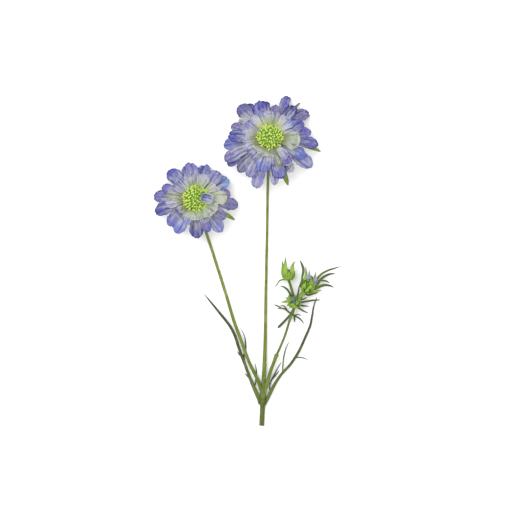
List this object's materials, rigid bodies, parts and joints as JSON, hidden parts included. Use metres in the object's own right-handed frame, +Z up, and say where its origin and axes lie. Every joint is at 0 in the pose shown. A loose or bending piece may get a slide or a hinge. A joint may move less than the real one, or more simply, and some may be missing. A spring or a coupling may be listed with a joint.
{
  "type": "scabiosa flower spray",
  "caption": "Cut spray of garden scabious laid face up: frilled violet-blue flower heads with green centres, a leafy side shoot with buds, and narrow divided leaves.",
  "frame": {"origin": "middle of the bounding box, at the height of the surface that the spray lies on", "axes": "+Y along the main stem, from its cut end to the flower heads; +Z up, out of the faces of the flowers; +X to the side of the budding shoot"},
  "size_m": [0.1684, 0.2966, 0.0367],
  "materials": {
    "petal": "matte",
    "inner_petal": "matte",
    "floret": "matte",
    "bract": "matte",
    "stem": "satin",
    "leaf": "matte",
    "bud": "matte"
  },
  "bodies": {
    "root": {"large_head_involucre": "bract", "large_head_disc": "floret", "large_head_throat": "inner_petal", "large_head_petal_01": "petal", "large_head_petal_02": "petal", "large_head_petal_03": "petal", "large_head_petal_04": "petal", "large_head_petal_05": "petal", "large_head_petal_06": "petal", "large_head_petal_07": "petal", "large_head_petal_08": "petal", "large_head_petal_09": "petal", "large_head_petal_10": "petal", "large_head_petal_11": "petal", "large_head_petal_12": "petal", "large_head_petal_13": "petal", "large_head_petal_14": "petal", "large_head_petal_15": "petal", "large_head_petal_16": "petal", "large_head_petal_17": "petal", "large_head_petal_18": "petal", "large_head_petal_19": "petal", "large_head_petal_20": "petal", "large_head_petal_21": "petal", "large_head_petal_22": "petal", "large_head_petal_23": "petal", "large_head_petal_24": "petal", "large_head_petal_25": "petal", "small_head_involucre": "bract", "small_head_disc": "floret", "small_head_throat": "inner_petal", "small_head_petal_01": "petal", "small_head_petal_02": "petal", "small_head_petal_03": "petal", "small_head_petal_04": "petal", "small_head_petal_05": "petal", "small_head_petal_06": "petal", "small_head_petal_07": "petal", "small_head_petal_08": "petal", "small_head_petal_09": "petal", "small_head_petal_10": "petal", "small_head_petal_11": "petal", "small_head_petal_12": "petal", "small_head_petal_13": "petal", "small_head_petal_14": "petal", "small_head_petal_15": "petal", "small_head_petal_16": "petal", "small_head_curled_petal": "petal", "main_stem": "stem", "left_stem": "stem", "shoot_socket": "stem", "shoot_stem": "stem", "left_leaf": "leaf", "right_leaf": "leaf", "whorl_leaf_blunt": "leaf", "whorl_leaf_forked": "leaf", "whorl_leaf_right": "leaf", "lower_bud": "bud", "upper_bud": "bud", "flowering_bud": "bud"}
  },
  "joints": []
}
